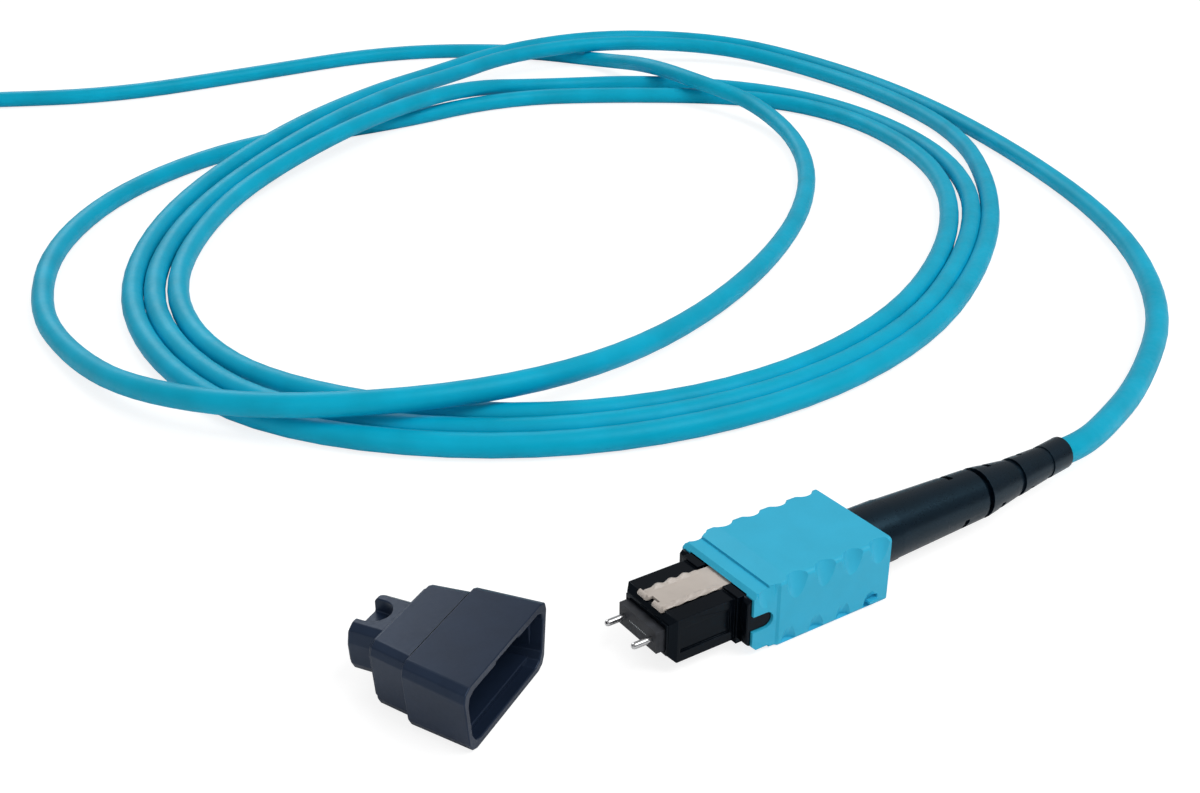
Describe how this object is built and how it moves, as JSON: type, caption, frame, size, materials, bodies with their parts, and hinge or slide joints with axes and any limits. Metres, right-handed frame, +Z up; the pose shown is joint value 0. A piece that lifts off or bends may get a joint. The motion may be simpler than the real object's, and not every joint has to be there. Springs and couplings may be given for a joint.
{
  "type": "fibre patch cord with multi-fibre push-on connectors",
  "caption": "Multi-fibre push-on optical connector with sliding aqua sleeve, guide pins and strain boot, its loose cap, and the aqua cord that it ends.",
  "frame": {"origin": "centre of the ferrule's end face", "axes": "+X leaves the mating face, +Z points up through the key, +Y is the connector's left side seen from behind"},
  "size_m": [0.2389, 0.2663, 0.0078],
  "materials": {
    "sleeve_aqua": "satin moulded plastic",
    "housing_black": "glossy moulded plastic",
    "key_grey": "satin light grey plastic",
    "ferrule_slate": "fine matt glass-filled resin",
    "pin_steel": "polished stainless steel",
    "clamp_steel": "plain stainless steel",
    "soft_boot": "soft elastomer",
    "spring_steel": "spring wire",
    "ribbon_clear": "coated fibres side by side",
    "yarn_yellow": "aramid yarn",
    "crimp_metal": "crimped soft metal",
    "cable_aqua": "satin cable jacket",
    "boot_black": "soft satin elastomer",
    "cap_slate": "satin dark slate plastic",
    "tie_black": "hook and loop strap"
  },
  "bodies": {
    "housing": {"inner_housing": "housing_black", "key_clip": "key_grey", "spring_push": "housing_black", "main_spring": "spring_steel", "coupling_spring_left": "spring_steel", "coupling_spring_right": "spring_steel", "fibre_ribbon": "ribbon_clear", "aramid_yarn": "yarn_yellow", "crimp_ring": "crimp_metal", "jacket_end": "cable_aqua", "strain_boot": "boot_black", "dust_cap": "cap_slate", "cable_lead": "cable_aqua", "cable_coil": "cable_aqua", "cable_tail": "cable_aqua", "cable_stowed_coil": "cable_aqua", "coil_tie_left": "tie_black", "coil_tie_right": "tie_black", "cable_far": "cable_aqua", "inner_housing_far": "housing_black", "spring_push_far": "housing_black", "jacket_end_far": "cable_aqua", "strain_boot_far": "boot_black", "dust_cap_far": "cap_slate"},
    "sleeve": {"coupling_sleeve": "sleeve_aqua"},
    "ferrule_group": {"ferrule": "ferrule_slate", "guide_pin_left": "pin_steel", "guide_pin_right": "pin_steel", "pin_clamp": "clamp_steel", "ferrule_boot": "soft_boot"},
    "sleeve_far": {"coupling_sleeve_far": "sleeve_aqua"}
  },
  "joints": [
    {"name": "sleeve_slide", "type": "slide", "parent": "housing", "child": "sleeve", "axis": [-1, 0, 0], "range_m": [0, 0.002], "stiffness_N_per_m": 1400, "springref_m": -0.002, "deforming": ["coupling_spring_left", "coupling_spring_right"]},
    {"name": "ferrule_float", "type": "slide", "parent": "housing", "child": "ferrule_group", "axis": [-1, 0, 0], "range_m": [0, 0.0007], "stiffness_N_per_m": 6000, "springref_m": -0.0016, "deforming": ["main_spring"]},
    {"name": "sleeve_far_slide", "type": "slide", "parent": "housing", "child": "sleeve_far", "axis": [0, -1, 0], "range_m": [0, 0.002], "stiffness_N_per_m": 1400, "springref_m": -0.002}
  ]
}
